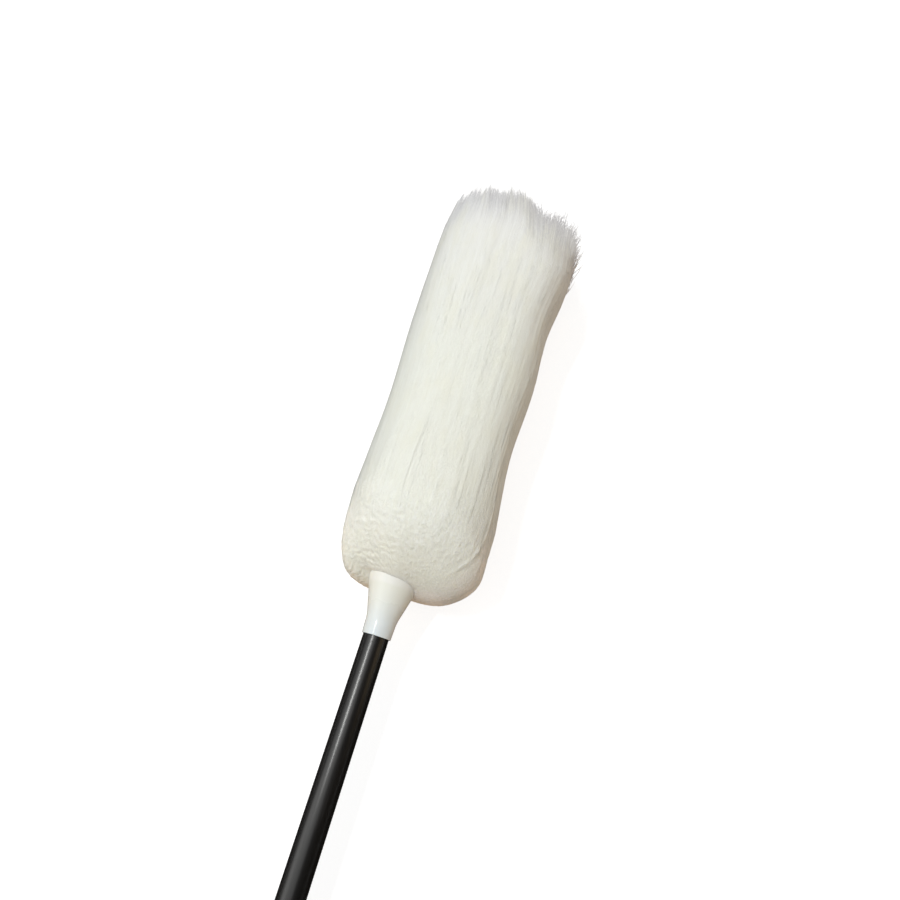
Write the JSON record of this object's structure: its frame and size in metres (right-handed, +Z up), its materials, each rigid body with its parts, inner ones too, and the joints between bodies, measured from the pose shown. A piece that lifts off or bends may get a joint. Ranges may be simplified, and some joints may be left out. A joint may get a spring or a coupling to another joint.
{
  "type": "lambswool duster",
  "caption": "Long-handled duster: a fluffy lambswool head in a white flared ferrule on a twist-lock telescopic pole, for dusting shelves and ceilings.",
  "frame": {"origin": "under the middle of the part's box, on the floor that the duster lies on", "axes": "+X along the duster from the hang cap to the tip of the wool, +Z up; the pole rises 1.73 degrees towards the wool"},
  "size_m": [1.0768, 0.119, 0.1],
  "materials": {
    "coated_tube": "satin black coating on thin steel tube",
    "black_plastic": "fine moulded texture",
    "grip_rubber": "matt soft grip",
    "white_plastic": "semi-gloss moulded",
    "natural_plastic": "uncoloured moulded",
    "steel": "bright zinc plated",
    "timber": "bare turned rod",
    "lambskin": "tanned hide side",
    "lambswool": "long combed cream wool"
  },
  "bodies": {
    "handle": {"outer_tube": "coated_tube", "grip_sleeve": "grip_rubber", "hang_cap": "black_plastic", "thread_body": "black_plastic", "body_rivet_left": "steel", "body_rivet_right": "steel"},
    "guide": {"guide_sleeve": "natural_plastic"},
    "sliding_pole": {"inner_tube": "coated_tube", "tube_plug": "black_plastic", "snap_ring": "steel", "ferrule": "white_plastic", "rod_bush": "natural_plastic", "rod_pin": "steel", "core_rod": "timber", "skin_strip": "lambskin", "skin_tack_lower": "steel", "skin_tack_upper": "steel", "tip_cap": "natural_plastic", "wool_fleece": "lambswool"},
    "clamp": {"clamp_ring": "natural_plastic"},
    "nut": {"lock_nut": "black_plastic"}
  },
  "joints": [
    {"name": "extension", "type": "slide", "parent": "handle", "child": "guide", "axis": [0.9995, 0, 0.0301], "range_m": [-0.188, 0.1153]},
    {"name": "pole_turn", "type": "hinge", "parent": "guide", "child": "sliding_pole", "pos_m": [-0.07527, 0.0055, 0.02918], "axis": [0.9995, 0, 0.0301], "continuous": true},
    {"name": "nut_travel", "type": "slide", "parent": "handle", "child": "clamp", "axis": [0.9995, 0, 0.0301], "range_m": [0, 0.0015]},
    {"name": "nut_turn", "type": "hinge", "parent": "clamp", "child": "nut", "pos_m": [-0.07527, 0.0055, 0.02918], "axis": [0.9995, 0, 0.0301], "range_deg": [0, 135]}
  ],
  "couplings": [
    {"joint": "nut_travel", "follows": "nut_turn", "m_per_rad": 0.00063662}
  ]
}
